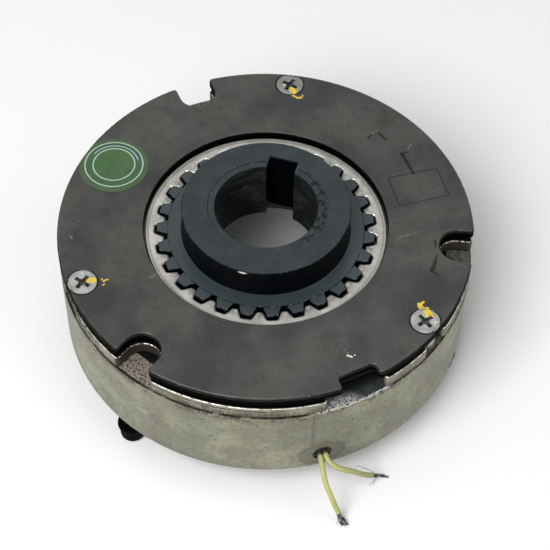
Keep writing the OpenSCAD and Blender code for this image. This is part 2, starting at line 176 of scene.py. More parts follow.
class Finish(Nodes):
    """A material whose patterns are worked out from the piece's own coordinates, in millimetres."""

    def __init__(self, name):
        self.material = bpy.data.materials.new(name)
        super().__init__(self.material)
        self.place = self.scaled(self.node("TexCoord", out="Object"), 1000)
        self.z = self.node("SeparateXYZ", {}, {0: self.place}, out=2)
        self.upward = self.node("SeparateXYZ", {}, {0: self.node("TexCoord", out="Normal")}, out=2)

    def vector(self, operation, *values, out=0):
        return self.node("VectorMath", {"operation": operation}, dict(enumerate(values)), out)

    def scaled(self, vector, factor):
        return self.node("VectorMath", {"operation": "SCALE"}, {0: vector, "Scale": factor})

    def stretched(self, x, y, z):
        """The piece's coordinates with each axis multiplied."""
        return self.vector("MULTIPLY", self.place, (x, y, z))

    def noise(self, size, detail=3, place=None):
        """Cloudy values round 0.5, whose largest patches are about size millimetres across."""
        sockets = {"Vector": place or self.place, "Scale": 1 / size, "Detail": detail, "Roughness": 0.55}
        return self.node("TexNoise", {}, sockets)

    def specks(self, size, share):
        """1 in the middle of scattered dots, 0 elsewhere; share is a dot's width over its cell's."""
        cells = self.node("TexVoronoi", {}, {"Vector": self.place, "Scale": 1 / size})
        return cells.ramp(share, share * 0.4)

    def scratches(self, size, thin, turned):
        """Thin lines along turned radians in plan, from one cloudy pattern stretched along them."""
        spun = self.node("Mapping", {}, {"Vector": self.place, "Rotation": (0, 0, turned)})
        return self.noise(size, 2, self.vector("MULTIPLY", spun, (0.06, 1, 1))).off(0.5).ramp(thin, 0)

    def away(self, x, y, z=0, flatten=(1, 1, 1)):
        """Distance from a point, in millimetres; flatten shortens the distance along each axis."""
        moved = self.vector("SUBTRACT", self.place, (x, y, z))
        return self.vector("LENGTH", self.vector("MULTIPLY", moved, flatten), out="Value")

    def beside(self, x, y):
        """Distance in plan from a point, in millimetres."""
        return self.away(x, y, 0, (1, 1, 0))

    def from_nearest(self, centres):
        """Distance in plan from the nearest of several points, in millimetres."""
        nearest = 1000.0
        for x, y in centres:
            nearest = self.beside(x, y).least(nearest)
        return nearest

    def around(self):
        """Distance from the brake's axis, in millimetres."""
        return self.beside(0, 0)

    def turning(self, size):
        """Fine rings round the axis, as a lathe leaves them: noise that only the distance from the axis moves."""
        return self.noise(size, 3, self.node("CombineXYZ", {}, {0: self.around()}))

    def stroke(self, start, end):
        """Distance in plan from the straight line between two points, in millimetres."""
        start, end = np.array([*start, 0.0]), np.array([*end, 0.0])
        along = end - start
        moved = self.vector("SUBTRACT", self.stretched(1, 1, 0), tuple(start))
        share = self.vector("DOT_PRODUCT", moved, tuple(along / (along @ along)), out="Value")
        reached = self.scaled(tuple(along), self.node("Clamp", {}, {0: share}))
        return self.vector("LENGTH", self.vector("SUBTRACT", moved, reached), out="Value")

    def drawn(self, strokes, ragged=0.0):
        """1 inside any of the strokes, each given as start, end and half width; ragged moves their edges."""
        mask = 0.0
        for start, end, half in strokes:
            reach = self.stroke(start, end) + (self.noise(0.45) - 0.5) * ragged
            mask = reach.ramp(half, half * 0.55).most(mask)
        return mask

    def mix(self, mask, colour, other):
        """colour where the mask is 0, other where it is 1. One number stands for a grey."""
        settings = {"data_type": "RGBA", "clamp_factor": True}
        colour, other = (c if isinstance(c, Shade) else (*np.broadcast_to(c, 3), 1) for c in (colour, other))
        return self.node("Mix", settings, {0: mask, 6: colour, 7: other}, out=2)

    def cover(self, mask, colour):
        """Lays a colour over what the finish has so far, where the mask is 1."""
        self.colour = self.mix(mask, self.colour, colour)

    def yellow_paint(self, mask):
        """Thick yellow marking paint where the mask is 1, darker where it is thin, with pale glossy bits."""
        yellow = self.mix(self.noise(0.7).ramp(0.38, 0.62), (0.62, 0.42, 0.03), (0.86, 0.63, 0.06))
        self.cover(mask, self.mix(self.noise(0.4, 2).ramp(0.62, 0.68), yellow, (0.92, 0.86, 0.5)))

    def done(self, roughness, height=None, depth=0.1, metal=None, **constants):
        """Links colour, roughness and metal, and makes height, from 0 to 1, stand depth millimetres proud."""
        sockets = {"Base Color": self.colour, "Roughness": roughness}
        if metal is not None:
            sockets["Metallic"] = metal
        if height is not None:
            sockets["Normal"] = self.node("Bump", {}, {"Height": height, "Distance": depth * MM})
        sockets |= {name.replace("_", " "): value for name, value in constants.items()}
        self.feed(self.tree.nodes["Principled BSDF"], sockets)
        return self.material


def from_lead_hole(points):
    """Rows of distance from the shaft, sideways and height become points of the frame."""
    points = np.asarray(points, float)
    return points[:, :1] * straight_out + points[:, 1:2] * sideways + points[:, 2:] * upright


def smooth_path(points, steps):
    """Cubic through every point: between two it leans, at each, along the line joining that point's neighbours."""
    p = np.vstack([2 * points[0] - points[1], points, 2 * points[-1] - points[-2]])
    t = np.linspace(0, 1, steps, endpoint=False)[None, :, None]
    a, b, c, d = (p[i:len(p) - 3 + i, None] for i in range(4))
    curve = 0.5 * (2 * b + (c - a) * t + (2 * a - 5 * b + 4 * c - d) * t**2 + (3 * b - a - 3 * c + d) * t**3)
    return np.vstack([curve.reshape(-1, 3), points[-1:]])


def grid_faces(rows, columns, closed=False):
    """Quads between neighbouring rows and columns of points; columns wrap round, and rows too if closed."""
    i = np.arange(rows if closed else rows - 1)[:, None]
    j = np.arange(columns)[None, :]
    after, beside = (i + 1) % rows, (j + 1) % columns
    quads = [i * columns + j, i * columns + beside, after * columns + beside, after * columns + j]
    return np.stack(quads, -1).reshape(-1, 4).tolist()


def whole_turn(steps):
    """Angles of one turn, in equal steps."""
    return np.linspace(0, 2 * math.pi, steps, endpoint=False)


def tube(path, radius, sides, across=sideways):
    """Circles of the given radius or radii, square to the path, turned so that one axis is square to across."""
    ahead = np.gradient(path, axis=0)
    ahead /= np.linalg.norm(ahead, axis=1)[:, None]
    side = np.cross(ahead, across)
    side /= np.linalg.norm(side, axis=1)[:, None]
    up = np.cross(side, ahead)
    angle = whole_turn(sides)[None, :, None]
    ring = np.cos(angle) * side[:, None] + np.sin(angle) * up[:, None]
    return path[:, None] + ring * np.broadcast_to(radius, len(path))[:, None, None]


def capped(rings):
    """Points and faces of a tube: its rings joined by quads, and a flat face over each end."""
    rows, sides = rings.shape[:2]
    ends = [list(range(sides)), list(range((rows - 1) * sides, rows * sides))[::-1]]
    return rings.reshape(-1, 3), [f[::-1] for f in grid_faces(rows, sides)] + ends


def joined(parts):
    """Several lots of points and faces as one."""
    points, faces, first = [], [], 0
    for part_points, part_faces in parts:
        points.append(part_points)
        faces += [[first + i for i in face] for face in part_faces]
        first += len(part_points)
    return np.vstack(points), faces


def piece(name, shape, finish, body, stands_for=None, sharp=40):
    """A mesh from points in millimetres, on its body if it has one; edges sharper than sharp degrees stay sharp."""
    points, faces = shape
    mesh = bpy.data.meshes.new(name)
    mesh.from_pydata(np.asarray(points) * MM, [], faces)
    mesh.materials.append(finish)
    mesh.validate()
    mesh.shade_smooth()
    mesh.set_sharp_from_angle(angle=math.radians(sharp))
    made = placed(name, mesh)
    if body:
        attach(made, body)
    if stands_for:
        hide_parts(stands_for)
    return made


def dressed(name, finish):
    """Gives a CAD node its finish."""
    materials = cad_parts[name].data.materials
    materials.clear()
    materials.append(finish)


sheath = Finish("pale_yellow_insulation")
grime = sheath.noise(3.5, 4).ramp(0.52, 0.75)
sheath.colour = sheath.mix(sheath.noise(9), (0.53, 0.53, 0.18), (0.62, 0.62, 0.25))
sheath.cover(sheath.around().ramp(67, 58.5) * 0.5, (0.27, 0.27, 0.12))
sheath.cover(grime * 0.45, (0.33, 0.32, 0.1))
# Inside the housing and the bush the insulation is painted near black: painted shade.
sheath.cover(sheath.around().ramp(57.9, 56.9), (0.018, 0.018, 0.012))
sheath = sheath.done(
    sheath.noise(2) * 0.2 + 0.4, sheath.noise(0.5), 0.03,
    Subsurface_Weight=0.12, Subsurface_Scale=0.0006, Subsurface_Radius=(1, 0.9, 0.3))

tarnish = Finish("tarnished_strands")
patches = tarnish.noise(0.6)
tarnish.colour = tarnish.mix(patches.ramp(0.4, 0.7), 0.012, (0.36, 0.35, 0.33))
tarnish = tarnish.done(patches * 0.3 + 0.25, tarnish.noise(0.15), 0.01, metal=patches.ramp(0.2, 0.5))


def bare_strands(route, count, opening, frays, seed):
    """Strands that wind round the route, at a distance whose growth is opening, and frays along short arcs.
    Each strand ends a random number of steps early."""
    rng = np.random.default_rng(seed)
    path = smooth_path(from_lead_hole(route), 10)
    share = np.linspace(0, 1, len(path))
    middle = tube(path, 1.0, 4) - path[:, None]
    parts = []
    for i in range(count):
        angle = (2 * math.pi * i / count + twist * share)[:, None]
        out = lay_radius * (1 + opening * share[:, None]) * (1 if i else 0)
        line = path + (middle[:, 0] * np.cos(angle) + middle[:, 1] * np.sin(angle)) * out
        line[:, 2] = np.maximum(line[:, 2], 0.2)
        parts.append(capped(tube(line[:len(path) - int(rng.integers(0, 7))], strand_radius, 7)))
    for start, reach, bend in frays:
        t = np.linspace(0, 1, 14)[:, None]
        line = from_lead_hole([start] * 14) + from_lead_hole([reach]) * t + from_lead_hole([bend]) * t * (1 - t)
        line[:, 2] = np.maximum(line[:, 2], 0.1)
        parts.append(capped(tube(line, fray_radius, 5)))
    return joined(parts)


frays_a = [
    ((68.2, 2, 2.6), (1.6, -1.2, -1.9), (0.6, -0.4, 0.6)), ((68.2, 2.2, 2.4), (2.2, 1.6, -1.7), (0, 0.8, 0.6))]
frays_b = [
    ((59.3, 15, 4), (-0.4, -5.8, 6), (-1.3, -1.3, 4)), ((59.3, 15.2, 3.8), (0, -4.6, 4.8), (-1, -0.8, 3.4)),
    ((59.2, 15.7, 1.7), (1, -2.5, -1.5), (0.2, 0.2, 0.3)), ((59.2, 15.8, 1.7), (1.1, -1.6, -1.5), (0.1, 0.3, 0.2))]
for name, route, bare, frays, count, opening in (
        ("a", route_a, strands_a, frays_a, 8, 0.9), ("b", route_b, strands_b, frays_b, 7, -0.62)):
    path = smooth_path(from_lead_hole(route), 6)
    squeeze = 1 - 0.012 * (1 + np.sin(np.arange(len(path)) * 0.9))
    wire = piece("lead_" + name, capped(tube(path, wire_diameter / 2 * squeeze, 24)), sheath, "field",
                 "lead_wire_" + name)
    ends = piece("strands_" + name, bare_strands(bare, count, opening, frays, 3), tarnish, "field",
                 "wire_strands_" + name)


# The bush is moulded black rubber, pushed into the lead hole. It keeps the wires off the steel edge.
# The lip is a rounded ring round its mouth, just inside the face of the housing.
rubber = Finish("black_rubber")
dust = rubber.noise(0.8, 4)
rubber.colour = rubber.mix(dust.ramp(0.45, 0.8), (0.012, 0.012, 0.011), (0.05, 0.048, 0.04))
rubber = rubber.done(dust * 0.3 + 0.5, dust, 0.04)
dressed("lead_grommet", rubber)


def ring_in_hole(profile, start):
    """A profile of distance from the lead hole's axis and depth along it, carried round that axis."""
    turn = whole_turn(48)[None, :]
    r, depth = profile.T[:, :, None]
    points = (start + depth)[..., None] * straight_out + (r * np.cos(turn))[..., None] * sideways
    return points + (r * np.sin(turn))[..., None] * upright + upright * lead_height


bend = whole_turn(16)
lip = ring_in_hole(np.stack([2.32 + 0.3 * np.cos(bend), 0.22 * np.sin(bend)], 1), 56.45)
lip = lip.reshape(-1, 3), grid_faces(16, 48, closed=True)
piece("grommet_lip", lip, rubber, "field")


# The housing is a turned steel pot with yellowish zinc plating. Its side has gone dull and scuffed, with a
# dark smudge where the wires leave. The pole faces on top are ground, and speckled with corrosion.
zinc = Finish("dull_zinc_plating")
cloud, fine = zinc.noise(16, 4), zinc.noise(1.6, 4)
zinc.colour = zinc.mix(cloud.ramp(0.38, 0.62), (0.225, 0.226, 0.165), (0.355, 0.358, 0.25))
zinc.cover(zinc.noise(6, 3, zinc.stretched(1, 1, 0.6)).ramp(0.5, 0.72) * 0.5, (0.2, 0.16, 0.105))
zinc.cover(zinc.noise(11, 2, zinc.stretched(1, 1, 2)).ramp(0.54, 0.68) * 0.4, (0.25, 0.265, 0.245))
zinc.cover(fine.ramp(0.48, 0.75) * 0.4, (0.13, 0.12, 0.085))
zinc.cover(zinc.noise(0.5).ramp(0.52, 0.7) * 0.4, (0.42, 0.41, 0.34))
zinc.cover(zinc.noise(0.7, 4).ramp(0.56, 0.68) * 0.4, (0.09, 0.085, 0.06))
# The left side of the housing is painted darker: painted shade where the light falls off.
zinc.cover(zinc.beside(-58, -4).ramp(34, 14) * 0.4, (0.12, 0.12, 0.1))
dashes = zinc.noise(0.8, 2, zinc.stretched(0.65, 0.65, 1.2)).ramp(0.65, 0.69) * zinc.noise(9).ramp(0.42, 0.58)
dashes = dashes.most(zinc.specks(2.2, 0.14) * zinc.noise(7).ramp(0.48, 0.6))
zinc.cover(dashes * 0.85, (0.035, 0.03, 0.022))
rim_radius = 57.0
reach = zinc.away(*(rim_radius * straight_out + lead_height * upright), (1, 1, 1.3)) + zinc.noise(2.5) * 2.6
smudge = reach.ramp(8.4, 7.2) * 0.42 + reach.off(7.5).ramp(1.0, 0.2) * 0.2
streak = (zinc.beside(*polar(rim_radius, 290.4)) + fine * 0.8).ramp(1.15, 0.5) * zinc.z.ramp(20, 25) * 0.45
zinc.cover((smudge + streak).least(0.62), (0.085, 0.078, 0.06))
low = zinc.z.ramp(18.5, 13) * zinc.noise(3).ramp(0.35, 0.6)
zinc.cover(low * 0.4, (0.11, 0.11, 0.09))
burred = zinc.away(-47, -31, 38.5, (0.8, 0.8, 5)).ramp(26, 12) * 0.07
dirt = zinc.z.ramp(34.5, 38.6) * (zinc.noise(5, 4) * 0.6 + zinc.noise(0.7, 4) * 0.4 + burred).ramp(0.47, 0.55)
zinc.cover(dirt * 0.85, (0.035, 0.028, 0.018))
bright_patch = zinc.away(-26.0, -50.8, 26.0, (0.5, 0.8, 1.2)) + zinc.noise(1.5) * 3
zinc.cover(bright_patch.ramp(3.4, 2.4) * 0.55, (0.42, 0.43, 0.35))
pits = zinc.noise(0.42, 4).ramp(0.51, 0.58)
ground = zinc.mix(zinc.noise(3.5), (0.25, 0.22, 0.18), (0.39, 0.34, 0.29))
ground = zinc.mix(pits, ground, (0.035, 0.028, 0.022))
# In the front window the pole face is painted as light and shade: dark teal, near black inward of 55 mm,
# with a painted sparkle of pale specks on its lit left part.
window_shade_and_sparkle = zinc.mix(zinc.noise(2, 4), (0.014, 0.018, 0.019), (0.065, 0.077, 0.077))
painted_sparkle = zinc.away(25.5, -50.0, 38.8, (0.6, 1, 1)).ramp(6, 3) * zinc.noise(0.22).ramp(0.46, 0.6)
window_shade_and_sparkle = zinc.mix(painted_sparkle, window_shade_and_sparkle, (0.8, 0.82, 0.78))
plain = zinc.mix(zinc.noise(1.5, 4).ramp(0.35, 0.65), (0.075, 0.07, 0.055), (0.17, 0.162, 0.135))
ground = zinc.mix(zinc.away(-25, -46, 38.8).ramp(11, 13), ground, plain)
window_shade_and_sparkle = zinc.mix(zinc.around().ramp(55, 52) * 0.9, window_shade_and_sparkle, 0.004)
ground = zinc.mix(zinc.away(29, -46, 38.8).ramp(20, 15), ground, window_shade_and_sparkle)
top = zinc.upward.ramp(0.75, 0.9) * zinc.z.ramp(38, 38.5)
inside = zinc.around().ramp(56, 55)
zinc.cover(inside * (1 - top) * 0.6, (0.05, 0.047, 0.04))
zinc.cover(top, ground)
rim = zinc.upward.between(0.2, 0.5, 0.8, 0.95)
# The rounded top edges are painted near black and metallic: painted shade of the gap line under the armature.
seam_shade = zinc.upward.between(0.45, 0.65, 0.95, 0.98)
zinc.cover(seam_shade * (zinc.noise(2.5).ramp(0.3, 0.5) * 0.3 + 0.65), (0.01, 0.008, 0.006))
# By the window, pale dashes on the rounded top edge: painted glints.
window_edge_glints = zinc.away(29.5, -48.5, 38.8).ramp(13, 9.5) * zinc.noise(0.6).ramp(0.36, 0.52) * 0.7
zinc.cover(rim * window_edge_glints, (0.55, 0.54, 0.48))
zinc = zinc.done(
    cloud * 0.2 + fine * 0.25 + 0.25, fine * 0.6 + zinc.noise(0.35) * 0.4 - dashes * 0.3, 0.09,
    metal=((1 - smudge) * 0.3).most(seam_shade), Specular_IOR_Level=0.3)
dressed("field_core", zinc)


# The coil is enamelled copper wire on a black moulded bobbin, sealed in the slot with black resin.
# Only the resin shows, deep in the notches of the plates.
resin = Finish("black_casting_resin")
swirl = resin.noise(4)
resin.colour = resin.mix(swirl, 0.002, (0.007, 0.0065, 0.0065))
resin = resin.done(swirl * 0.3 + 0.35, swirl, 0.15, Specular_IOR_Level=0.2)
dressed("coil_potting", resin)
bobbin = Finish("black_bobbin_plastic")
grain = bobbin.noise(0.4)
bobbin.colour = bobbin.mix(grain, (0.016, 0.016, 0.017), (0.03, 0.03, 0.031))
bobbin = bobbin.done(grain * 0.2 + 0.45, grain, 0.02)
dressed("coil_bobbin", bobbin)
copper = Finish("enamelled_copper")
turns = copper.noise(1.5, 3, copper.stretched(0.3, 0.3, 4))
copper.colour = copper.mix(turns, (0.32, 0.1, 0.03), (0.55, 0.22, 0.09))
copper = copper.done(turns * 0.25 + 0.2, turns, 0.05, metal=0.85)
dressed("coil_winding", copper)


# Six coil springs of drawn wire stand in pockets of the inner pole and push the armature plate up.
# Their end turns are closed.
spring_wire = Finish("drawn_spring_wire")
draw = spring_wire.noise(0.9)
spring_wire.colour = spring_wire.mix(draw, (0.18, 0.18, 0.19), (0.42, 0.42, 0.43))
spring_wire = spring_wire.done(draw * 0.3 + 0.2, draw, 0.02, metal=0.9)
spring_radius, spring_wire_radius, spring_turns, closed_pitch = 1.55, 0.35, 7, 0.75
for i in range(1, 7):
    low, high = (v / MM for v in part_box(f"brake_spring_{i}"))
    bottom, top = low.z + spring_wire_radius, high.z - spring_wire_radius
    turn = np.linspace(0, spring_turns, spring_turns * 24 + 1)
    climb = [bottom, bottom + closed_pitch, top - closed_pitch, top]
    rise = np.interp(turn, (0, 1, spring_turns - 1, spring_turns), climb)
    a = 2 * math.pi * turn + math.radians(60 * (i - 1))
    middle = (low + high) / 2
    path = np.stack([middle.x + spring_radius * np.cos(a), middle.y + spring_radius * np.sin(a), rise], 1)
    spring = piece(f"coil_spring_{i}", capped(tube(path, spring_wire_radius, 10, (0, 0, 1))), spring_wire, None,
                   f"brake_spring_{i}")
    climb[1] * MM
    climb[2] * MM
    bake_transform(spring)


# The armature plate is a blanked steel ring, tumbled until its edges are round and bright, then plated
# like the housing. The brightness of its edges is partly a painted highlight, and its faces carry painted shade.
# Notches let the collars pass, and a wide window is cut in its rim at the front.
pitch_radius, collar_angles, notch_angles = 52.8, (90, 210, 330), (0, 120, 240)
armature_low, armature_high = (v.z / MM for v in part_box("armature_plate"))
armature_low += 0.03  # so that its underside never lies in one plane with the pole faces


def arc(x, y, radius, angles):
    """Points in plan at the given angles round a centre."""
    return np.stack([x + radius * np.cos(angles), y + radius * np.sin(angles)], 1)


def notched_rim(notches):
    """The rim circle broken by notches, each given as angle, half width, floor, floor's and mouth's corner radius.
    Half a notch is an arc of the mouth's radius outside the side, then one of the floor's radius at its foot."""
    loops = []
    for angle, half, floor, foot, mouth in sorted(notches):
        side = half + mouth
        along = math.sqrt((rim_radius - mouth) ** 2 - side**2)
        wide = math.atan2(side, along)
        a = np.linspace(wide, -math.pi / 2, 9)
        b = np.linspace(math.pi / 2, math.pi, 5 + int(foot * 4))
        upper = np.vstack([arc(along, side, mouth, a), arc(floor + foot, half - foot, foot, b)])
        lower = upper[::-1] * (1, -1)
        if np.allclose(upper[-1], lower[0]):
            lower = lower[1:]
        turn = math.radians(angle)
        spin = np.array([[math.cos(turn), math.sin(turn)], [-math.sin(turn), math.cos(turn)]])
        loops.append((turn - wide, turn + wide, (np.vstack([upper, lower])[::-1]) @ spin))
    points = []
    for i, (start, end, cut) in enumerate(loops):
        follows = loops[(i + 1) % len(loops)][0] + (2 * math.pi if i + 1 == len(loops) else 0)
        angles = np.linspace(end, follows, max(3, int((follows - end) / 0.012)))[1:-1]
        points += [cut, arc(0, 0, rim_radius, angles)]
    return np.vstack(points)


def shifted(loop, distance):
    """Each point of a closed loop moved to its left, square to the line joining its neighbours."""
    ahead = np.roll(loop, -1, 0) - np.roll(loop, 1, 0)
    ahead /= np.linalg.norm(ahead, axis=1)[:, None]
    return loop + distance * np.stack([-ahead[:, 1], ahead[:, 0]], 1)


def edge_roll(low, high, low_round, high_round, steps=6):
    """Distances in from the wall and heights, up a wall whose two edges are quarter circles."""
    a = np.linspace(0, math.pi / 2, steps)
    below = np.stack([low_round * (1 - np.sin(a)), low + low_round * (1 - np.cos(a))], 1)
    above = np.stack([high_round * (1 - np.cos(a)), high - high_round * (1 - np.sin(a))], 1)
    return np.vstack([below, above])


def plate(rim, holes):
    """A flat plate: walls are given loops carried through their heights, and both faces are filled between them.
    rim and each of holes are lists of (loop, height), from the bottom to the top."""
    parts = []
    for levels in [rim, *holes]:
        rings = np.stack([np.column_stack([loop, np.full(len(loop), z)]) for loop, z in levels])
        parts.append((rings.reshape(-1, 3), grid_faces(*rings.shape[:2])))
    for level, turned in ((0, -1), (-1, 1)):
        loops = [np.column_stack([w[level][0], np.full(len(w[level][0]), w[level][1])]) for w in [rim, *holes]]
        faces = tessellate_polygon([[Vector(p) for p in loop] for loop in loops])
        parts.append((np.vstack(loops), [list(f)[::turned] for f in faces]))
    return parts


def welded(parts, name, finish, body, slot, stands_for, sharp=40):
    """Joins parts into one closed mesh: points in one place merge, faces turn outwards, level faces are flat."""
    points, faces = joined(parts)
    keys, index = np.unique(np.round(points, 4), axis=0, return_inverse=True)
    index = index.ravel()
    faces = [index[f].tolist() for f in faces]
    faces = [f for f in faces if len(set(f)) == len(f)]
    made = piece(name, (keys, faces), finish, body, stands_for, sharp)
    work = bmesh.new()
    work.from_mesh(made.data)
    bmesh.ops.recalc_face_normals(work, faces=work.faces)
    work.to_mesh(made.data)
    work.free()
    made.data.set_sharp_from_angle(angle=math.radians(sharp))
    normals = np.empty(len(made.data.polygons) * 3)
    made.data.polygons.foreach_get("normal", normals)
    made.data.polygons.foreach_set("use_smooth", np.abs(normals[2::3]) < 0.9999)


round_notches = [(a, 5.1, 47.7, 5.1, 1.0) for a in notch_angles]
collar_notches = [(a, 3.8, 49.0, 3.8, 1.0) for a in collar_angles]
window = [(302.6, 8.3, 50.6, 1.2, 1.2)]
outline = notched_rim(round_notches + collar_notches + window)
rim = [(shifted(outline, d), z) for d, z in edge_roll(armature_low, armature_high, 0.15, 0.8)]
armature_bore = 33
bore_edges = edge_roll(armature_low, armature_high, 0.15, 0.3, 3)
bore = [(arc(0, 0, armature_bore + d, whole_turn(160)), z) for d, z in bore_edges]

worn = Finish("worn_zinc_plating")
cloud, fine = worn.noise(9, 4), worn.noise(1.1, 4)
worn.colour = worn.mix(cloud.ramp(0.4, 0.62), (0.23, 0.215, 0.155), (0.36, 0.345, 0.27))
worn.cover(fine.ramp(0.5, 0.75) * 0.5, (0.11, 0.09, 0.055))
worn.cover(worn.specks(1.6, 0.2) * worn.noise(5).ramp(0.48, 0.6), (0.03, 0.027, 0.02))
from_mouth = worn.from_nearest([polar(rim_radius, a) for a in notch_angles])
in_notch = worn.around().ramp(56.4, 55.4).most(from_mouth.ramp(6.6, 5.7))
in_window = worn.away(29, -45.5, 41, (1, 1, 0.5)).ramp(10.5, 9) * worn.around().ramp(54.5, 52)
# Everything inward of 55.4 mm, the notch walls and the window's walls are painted dark brown: painted shade.
worn.cover((in_notch * 0.93).most(in_window * 0.97), (0.016, 0.013, 0.008))
worn.cover(worn.noise(0.3).ramp(0.53, 0.66) * 0.5, (0.06, 0.052, 0.04))
# Pale rounded top edges broken by noise: partly rubbed bright metal, partly a painted highlight where the edge
# catches the light.
edge_wear_and_highlight = worn.upward.between(0.45, 0.58, 0.74, 0.82) * worn.noise(0.9, 4).ramp(0.38, 0.52)
edge_wear_and_highlight = edge_wear_and_highlight * (1 - in_notch * worn.noise(0.5).ramp(0.42, 0.56))
burred = worn.beside(-49, -29).ramp(20, 9)
edge_wear_and_highlight = edge_wear_and_highlight * (1 - burred * worn.noise(0.6).ramp(0.4, 0.5))
worn.cover(burred * worn.noise(0.8, 4).ramp(0.38, 0.52) * 0.9, (0.022, 0.019, 0.013))
worn.cover(edge_wear_and_highlight * 0.9, (0.8, 0.78, 0.73))
# The top face is painted near black and metallic: painted shade under the side plate.
face = worn.upward.ramp(0.7, 0.85)
worn.cover(face, (0.005, 0.005, 0.004))
smears = worn.z.ramp(42.3, 39.6) * 0.16 + worn.noise(4, 4) * 0.5 + worn.noise(0.5) * 0.5
worn.cover(smears.ramp(0.6, 0.68) * 0.75, (0.04, 0.034, 0.024))
crease = worn.z.off(41.8).ramp(0.27, 0.15) * worn.beside(-8, -56).ramp(22, 14)
worn.cover(crease * worn.noise(0.9).ramp(0.3, 0.45), (0.03, 0.025, 0.018))
# The lowest 0.3 mm is painted near black and metallic: painted shade of the gap above the housing.
foot = worn.z.ramp(39.5, 39.4)
worn.cover(foot, (0.005, 0.004, 0.003))
worn = worn.done(
    0.5 - edge_wear_and_highlight * 0.22 + fine * 0.15, fine * 0.6 + worn.noise(0.3) * 0.4, 0.09,
    metal=(edge_wear_and_highlight * 0.55 + 0.25).most(face).most(foot), Specular_IOR_Level=0.3)
welded(plate(rim, [bore]), "armature", worn, "armature", "armature_steel", "armature_plate")


# The rotor disc is stamped steel. Its inner ring is thicker and fills the holes of both plates, and its
# 27 teeth have edges that the punch has rolled over. Facings are bonded to both sides of the thin web.
teeth, tooth_turn = 27, math.radians(81)
pitch = 2 * math.pi / teeth
tooth_tip, tooth_root, tip_half, root_half = 29.93, 27.05, 1.52, 2.4
bore_radius, key_floor, key_half = 14.0, 17.3, 4.0
keyway_foot, keyway_mouth = math.atan2(key_half, key_floor) - pitch, math.asin(key_half / bore_radius) - pitch
corners = [math.atan2(root_half, tooth_root), math.asin(tip_half / tooth_tip), keyway_foot, keyway_mouth]
within = np.sort(np.concatenate([np.linspace(-pitch / 2, pitch / 2, 23)[:-1], corners, [-c for c in corners]]))
plan_angle = (tooth_turn + (np.arange(teeth)[:, None] * pitch + within)).ravel()


def grown(radius_of, distance):
    """The polar curve radius_of moved outwards by distance, or inwards if it is negative.
    At each angle it is the farthest (or nearest) crossing with circles of that size round the curve's points."""
    if abs(distance) < 1e-6:
        return np.tile(radius_of(within), teeth)
    source = np.linspace(-pitch, pitch, 1601)[None, :]
    off = source - within[:, None]
    r = np.broadcast_to(radius_of(source), off.shape)
    under = distance**2 - (r * np.sin(off)) ** 2
    reach = r * np.cos(off) + math.copysign(1, distance) * np.sqrt(np.maximum(under, 0))
    reach = np.where(under >= 0, reach, -math.copysign(1e9, distance))
    return np.tile(reach.max(1) if distance > 0 else reach.min(1), teeth)


def wavy_edge(a):
    """A round valley at 30.6 over each hub tooth, a land at 28 between, and a smooth cubic step between them."""
    a = np.abs((a + pitch / 2) % pitch - pitch / 2)
    t = np.clip((np.degrees(a) - 2.2) / 3.3, 0, 1)
    return 30.6 - 2.6 * t * t * (3 - 2 * t)


def polar_piece(levels, *names, sharp=40):
    """A closed skin whose section, a list of (radius at every plan angle, height), is carried round the axis."""
    r = np.stack([np.broadcast_to(radius, plan_angle.shape) for radius, _ in levels])
    z = np.array([height for _, height in levels])[:, None] + 0 * r
    points = np.stack([r * np.cos(plan_angle), r * np.sin(plan_angle), z], -1)
    faces = grid_faces(*r.shape, closed=True)
    welded([(points.reshape(-1, 3), faces)], *names, sharp=sharp)


disc_low, disc_high = (v.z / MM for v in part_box("rotor_disc"))
web_low, web_high = disc_low + 1, disc_high - 1
levels = [(grown(wavy_edge, d), z) for d, z in edge_roll(disc_low, disc_high, 0.2, 0.6, 7)]
open_ring = levels[-1][0]
levels += [
    (np.maximum(open_ring, 31.5), disc_high), (32.1, disc_high), (32.35, disc_high - 0.06), (32.6, disc_high),
    (32.9, disc_high), (33.05, disc_high - 0.05), (33.12, disc_high - 0.2), (33.15, web_high + 0.06),
    (33.2, web_high), (46.8, web_high), (47, web_high - 0.2), (47, web_low + 0.2),
    (46.8, web_low), (32.6, web_low), (32.4, web_low), (31.9, disc_low), (31.6, disc_low)]

bright = Finish("tumbled_disc_steel")
cloud, fine = bright.noise(7, 4), bright.noise(0.9, 4)
bright.colour = bright.mix(cloud.ramp(0.35, 0.65), (0.42, 0.41, 0.375), (0.59, 0.575, 0.53))
bright.cover(bright.specks(1.3, 0.16) * bright.noise(4).ramp(0.45, 0.6) * 0.8, (0.1, 0.09, 0.075))
stain = bright.noise(1.8).ramp(0.4, 0.6) * 0.5 + bright.noise(0.5).ramp(0.5, 0.62) * 0.4
bright.cover(bright.around().ramp(31.2, 29) * stain, (0.1, 0.095, 0.085))
bright.cover(fine.ramp(0.5, 0.72) * 0.35, (0.27, 0.26, 0.235))
ring_line = bright.around().off(32.35).ramp(0.45, 0.05).most(bright.turning(0.6).ramp(0.6, 0.75) * 0.4)
bright.cover(ring_line * 0.5, (0.17, 0.155, 0.13))
shade = bright.around().ramp(32.85, 33.12)
bright.cover(shade * 0.8, (0.03, 0.028, 0.025))
# Walls are painted dark: painted shade.
wall = bright.upward.ramp(0.25, 0.05)
bright.cover(wall * 0.9, (0.025, 0.022, 0.018))
# Rolled edges facing up are painted near white and made smoother: painted highlight.
roll = bright.upward.ramp(0.96, 0.8) * (1 - wall)
bright.cover(roll * 0.8, (0.86, 0.84, 0.8))
bright = bright.done(fine * 0.25 + 0.3 - roll * 0.12, fine * 0.7 + bright.turning(0.5) * 0.3, 0.025, metal=0.6)
polar_piece(levels, "disc", bright, "disc", "disc_steel", "rotor_disc", sharp=55)

